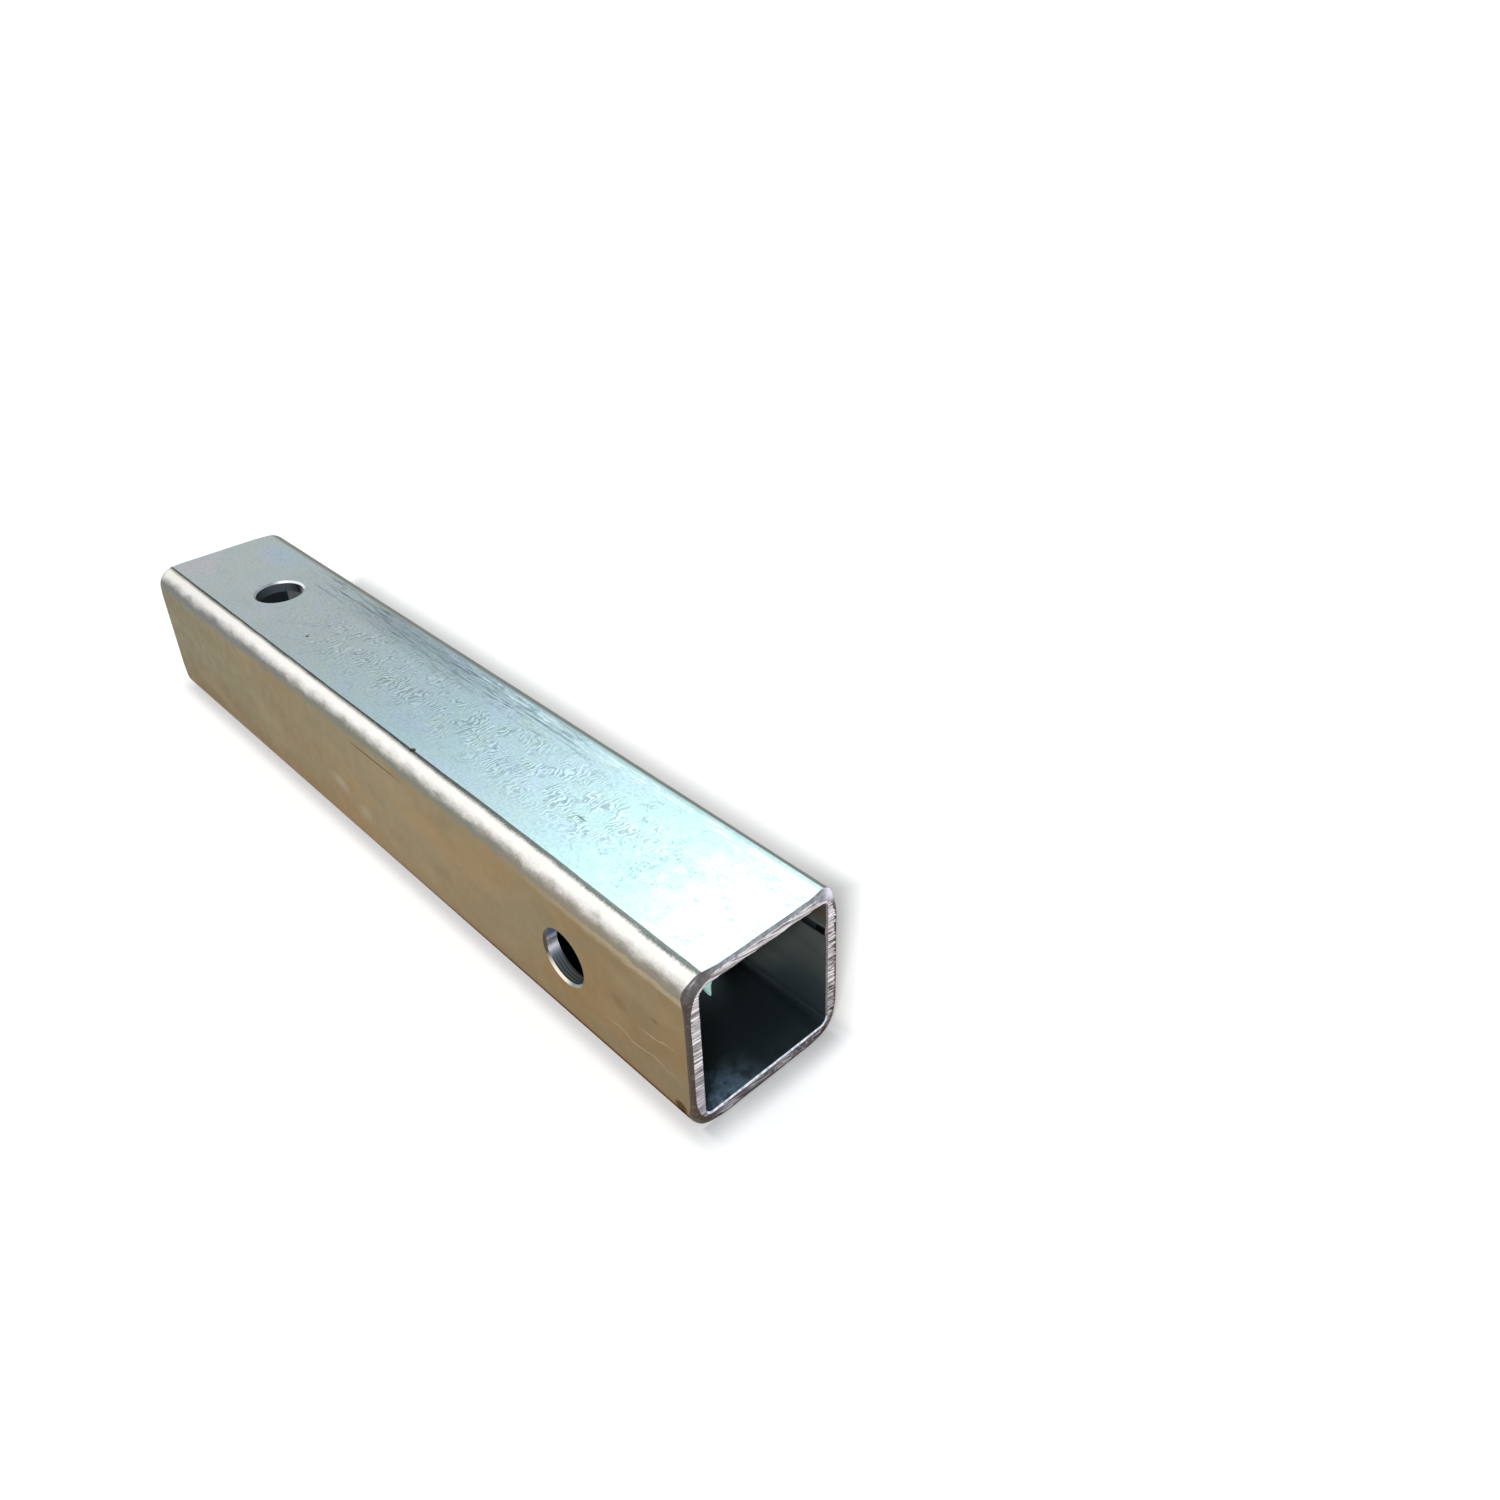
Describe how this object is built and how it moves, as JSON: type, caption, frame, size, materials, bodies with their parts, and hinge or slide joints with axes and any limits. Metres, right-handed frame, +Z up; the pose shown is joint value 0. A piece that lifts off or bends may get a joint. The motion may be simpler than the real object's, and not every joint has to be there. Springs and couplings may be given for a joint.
{
  "type": "receiver tube",
  "caption": "Short square steel tube, zinc plated, with a welded seam inside and a pin hole near each end, upright at one end and crosswise at the other.",
  "frame": {"origin": "under the middle of the tube, on the flat that it lies on", "axes": "+X along the tube towards the end with the crosswise pin holes, +Z up through the upright pin holes"},
  "size_m": [0.3, 0.05, 0.05],
  "materials": {
    "zinc_plated_steel": "satin"
  },
  "bodies": {
    "root": {"receiver_tube": "zinc_plated_steel"}
  },
  "joints": []
}
